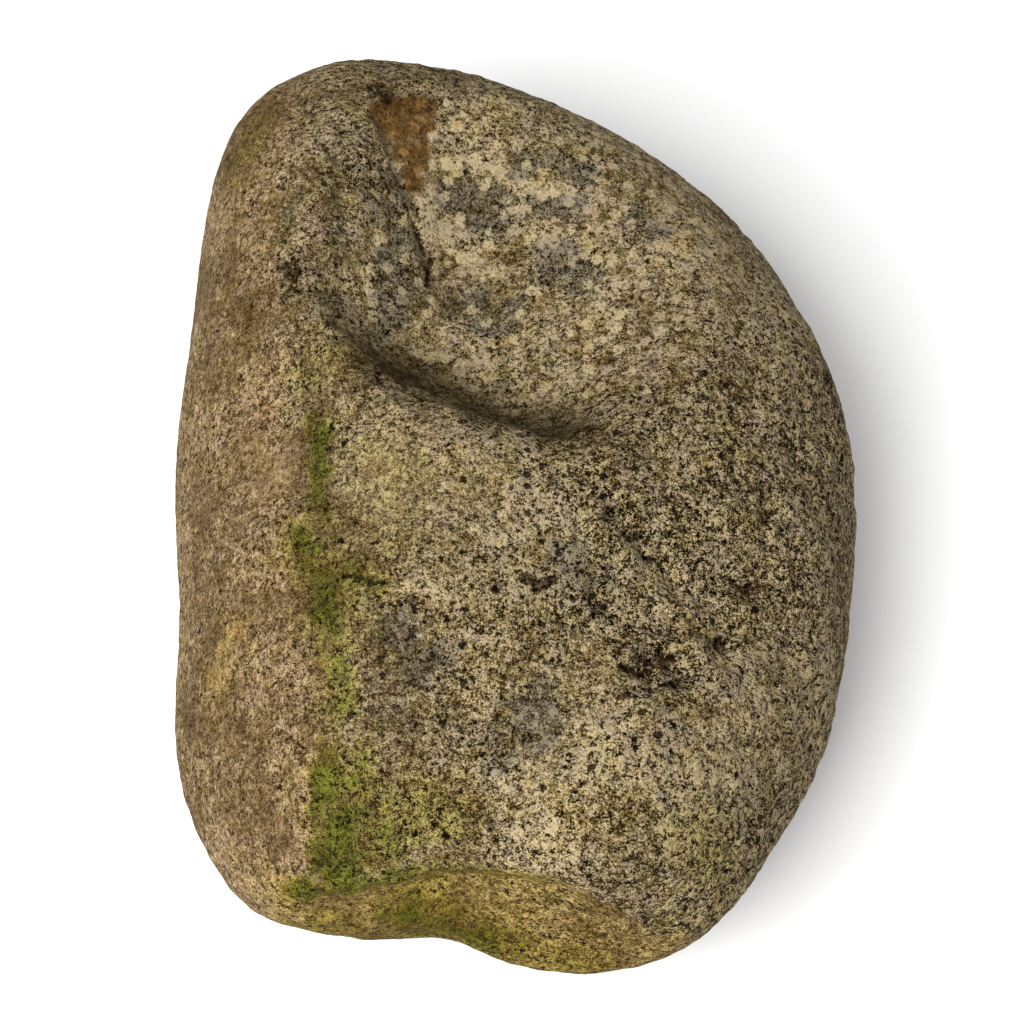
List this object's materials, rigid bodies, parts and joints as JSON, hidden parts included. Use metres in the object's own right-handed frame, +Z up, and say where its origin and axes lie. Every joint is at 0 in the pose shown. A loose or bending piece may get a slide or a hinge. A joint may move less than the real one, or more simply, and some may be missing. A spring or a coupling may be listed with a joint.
{
  "type": "grinding stone",
  "caption": "Worn boulder of coarse speckled stone with a scooped grinding hollow in its upper face and a saddle worn across one end.",
  "frame": {"origin": "on the resting face, under the middle of the stone's box", "axes": "+Y along the stone from the saddle end to the hollow end, +X to the right seen from the saddle end, +Z up"},
  "size_m": [0.2298, 0.315, 0.1238],
  "materials": {
    "weathered_stone": "coarse salt-and-pepper grain, matt, with moss and a rust stain"
  },
  "bodies": {
    "root": {"grinding_stone": "weathered_stone"}
  },
  "joints": []
}
